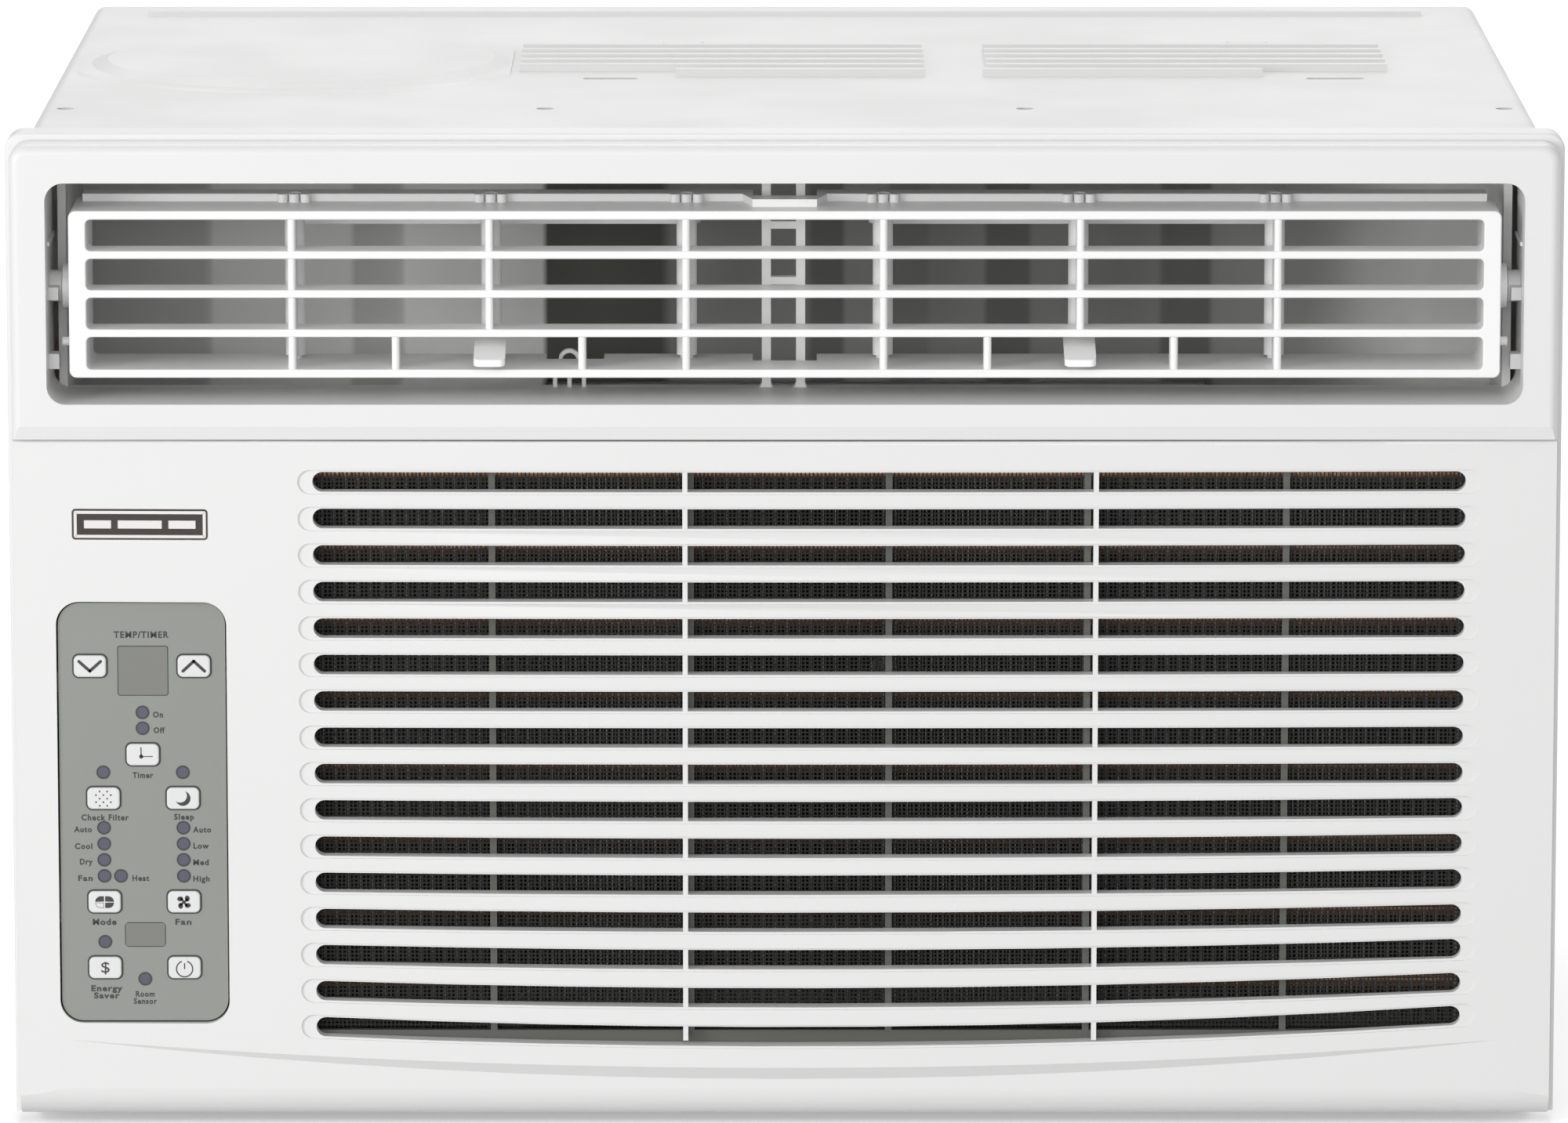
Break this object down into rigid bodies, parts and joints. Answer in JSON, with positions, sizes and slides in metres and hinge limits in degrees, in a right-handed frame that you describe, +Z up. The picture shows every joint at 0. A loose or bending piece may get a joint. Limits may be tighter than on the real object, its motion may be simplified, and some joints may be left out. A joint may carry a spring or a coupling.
{
  "type": "window air conditioner",
  "caption": "Compact window air conditioner: tilting louvre with upright vanes, hinged slotted intake panel, push-key controls and a full refrigerant circuit.",
  "frame": {"origin": "centre of the underside, on the sill", "axes": "+X to the right seen from the room, +Y towards the outdoor side, +Z up"},
  "size_m": [0.46, 0.33, 0.2996],
  "materials": {
    "white_plastic": "satin",
    "panel_plastic": "satin",
    "grey_plastic": "matte",
    "key_plastic": "satin",
    "lens_plastic": "gloss",
    "window_plastic": "gloss",
    "badge_plastic": "gloss",
    "filter_plastic": "matte",
    "filter_mesh": "woven",
    "circuit_board": "satin",
    "painted_steel": "fine texture",
    "galvanised_steel": "galvanised",
    "plated_screw": "zinc plated",
    "rubber": "matte",
    "foam": "matte",
    "fan_plastic": "satin",
    "shaft_steel": "ground",
    "motor_steel": "satin",
    "coil_aluminium": "mill",
    "copper": "drawn",
    "black_steel": "satin",
    "capacitor_can": "drawn"
  },
  "bodies": {
    "case": {"front_frame": "white_plastic", "frame_screws": "plated_screw", "control_overlay": "grey_plastic", "control_housing": "white_plastic", "control_board": "circuit_board", "led_lenses": "lens_plastic", "display_window": "window_plastic", "sensor_window": "window_plastic", "cabinet": "painted_steel", "base_pan": "galvanised_steel", "side_screws": "plated_screw", "cord_gland": "rubber", "drain_plug": "rubber", "air_duct": "foam", "scroll_housing": "foam", "fan_motor": "motor_steel", "motor_bracket": "galvanised_steel", "bulkhead": "galvanised_steel", "fan_shroud": "foam", "evaporator_fins": "coil_aluminium", "evaporator_tubes": "copper", "evaporator_ends": "galvanised_steel", "condenser_fins": "coil_aluminium", "condenser_tubes": "copper", "condenser_ends": "galvanised_steel", "compressor": "black_steel", "terminal_cover": "black_steel", "compressor_grommets": "rubber", "compressor_bolts": "plated_screw", "discharge_line": "copper", "suction_line": "copper", "filter_drier": "copper", "electric_box": "galvanised_steel", "electric_cover": "galvanised_steel", "run_capacitor": "capacitor_can"},
    "grille": {"intake_grille": "panel_plastic", "badge_plate": "badge_plastic", "filter_frame": "filter_plastic", "filter_net": "filter_mesh"},
    "louvre": {"louvre_frame": "white_plastic"},
    "link_left": {"tie_bar_left": "white_plastic"},
    "link_right": {"tie_bar_right": "white_plastic"},
    "rotor": {"fan_shaft": "shaft_steel", "blower_wheel": "fan_plastic", "condenser_fan": "fan_plastic"},
    "turning_vane_1": {"vane_1": "white_plastic"},
    "turning_vane_2": {"vane_2": "white_plastic"},
    "turning_vane_3": {"vane_3": "white_plastic"},
    "turning_vane_4": {"vane_4": "white_plastic"},
    "turning_vane_5": {"vane_5": "white_plastic"},
    "turning_vane_6": {"vane_6": "white_plastic"},
    "key_temp_down": {"button_temp_down": "key_plastic"},
    "key_temp_up": {"button_temp_up": "key_plastic"},
    "key_timer": {"button_timer": "key_plastic"},
    "key_filter": {"button_filter": "key_plastic"},
    "key_sleep": {"button_sleep": "key_plastic"},
    "key_mode": {"button_mode": "key_plastic"},
    "key_fan": {"button_fan": "key_plastic"},
    "key_eco": {"button_eco": "key_plastic"},
    "key_power": {"button_power": "key_plastic"}
  },
  "joints": [
    {"name": "panel_hinge", "type": "hinge", "parent": "case", "child": "grille", "pos_m": [0, -0.1558, 0.008], "axis": [1, 0, 0], "range_deg": [0, 60]},
    {"name": "louvre_tilt", "type": "hinge", "parent": "case", "child": "louvre", "pos_m": [0, -0.143, 0.2513], "axis": [1, 0, 0], "range_deg": [-20, 25]},
    {"name": "fan_spin", "type": "hinge", "parent": "case", "child": "rotor", "pos_m": [0.03, 0, 0.124], "axis": [0, 1, 0], "continuous": true},
    {"name": "vane_2_turn", "type": "hinge", "parent": "louvre", "child": "turning_vane_2", "pos_m": [-0.0871, -0.136, 0.2513], "axis": [0, 0, 1], "range_deg": [-35, 35]},
    {"name": "vane_5_turn", "type": "hinge", "parent": "louvre", "child": "turning_vane_5", "pos_m": [0.0871, -0.136, 0.2513], "axis": [0, 0, 1], "range_deg": [-35, 35]},
    {"name": "vane_1_turn", "type": "hinge", "parent": "louvre", "child": "turning_vane_1", "pos_m": [-0.1453, -0.136, 0.2513], "axis": [0, 0, 1], "range_deg": [-35, 35]},
    {"name": "vane_3_turn", "type": "hinge", "parent": "louvre", "child": "turning_vane_3", "pos_m": [-0.0291, -0.136, 0.2513], "axis": [0, 0, 1], "range_deg": [-35, 35]},
    {"name": "vane_4_turn", "type": "hinge", "parent": "louvre", "child": "turning_vane_4", "pos_m": [0.0291, -0.136, 0.2513], "axis": [0, 0, 1], "range_deg": [-35, 35]},
    {"name": "vane_6_turn", "type": "hinge", "parent": "louvre", "child": "turning_vane_6", "pos_m": [0.1453, -0.136, 0.2513], "axis": [0, 0, 1], "range_deg": [-35, 35]},
    {"name": "link_left_pin", "type": "hinge", "parent": "turning_vane_2", "child": "link_left", "pos_m": [-0.0871, -0.118, 0.2676], "axis": [0, 0, 1], "range_deg": [-35, 35]},
    {"name": "link_right_pin", "type": "hinge", "parent": "turning_vane_5", "child": "link_right", "pos_m": [0.0871, -0.118, 0.2676], "axis": [0, 0, 1], "range_deg": [-35, 35]},
    {"name": "press_temp_down", "type": "slide", "parent": "case", "child": "key_temp_down", "axis": [0, 1, 0], "range_m": [0, 0.0005], "stiffness_N_per_m": 400},
    {"name": "press_temp_up", "type": "slide", "parent": "case", "child": "key_temp_up", "axis": [0, 1, 0], "range_m": [0, 0.0005], "stiffness_N_per_m": 400},
    {"name": "press_timer", "type": "slide", "parent": "case", "child": "key_timer", "axis": [0, 1, 0], "range_m": [0, 0.0005], "stiffness_N_per_m": 400},
    {"name": "press_filter", "type": "slide", "parent": "case", "child": "key_filter", "axis": [0, 1, 0], "range_m": [0, 0.0005], "stiffness_N_per_m": 400},
    {"name": "press_sleep", "type": "slide", "parent": "case", "child": "key_sleep", "axis": [0, 1, 0], "range_m": [0, 0.0005], "stiffness_N_per_m": 400},
    {"name": "press_mode", "type": "slide", "parent": "case", "child": "key_mode", "axis": [0, 1, 0], "range_m": [0, 0.0005], "stiffness_N_per_m": 400},
    {"name": "press_fan", "type": "slide", "parent": "case", "child": "key_fan", "axis": [0, 1, 0], "range_m": [0, 0.0005], "stiffness_N_per_m": 400},
    {"name": "press_eco", "type": "slide", "parent": "case", "child": "key_eco", "axis": [0, 1, 0], "range_m": [0, 0.0005], "stiffness_N_per_m": 400},
    {"name": "press_power", "type": "slide", "parent": "case", "child": "key_power", "axis": [0, 1, 0], "range_m": [0, 0.0005], "stiffness_N_per_m": 400}
  ],
  "couplings": [
    {"joint": "vane_1_turn", "follows": "vane_2_turn", "ratio": 1},
    {"joint": "vane_3_turn", "follows": "vane_2_turn", "ratio": 1},
    {"joint": "vane_4_turn", "follows": "vane_5_turn", "ratio": 1},
    {"joint": "vane_6_turn", "follows": "vane_5_turn", "ratio": 1},
    {"joint": "link_left_pin", "follows": "vane_2_turn", "ratio": -1},
    {"joint": "link_right_pin", "follows": "vane_5_turn", "ratio": -1}
  ]
}
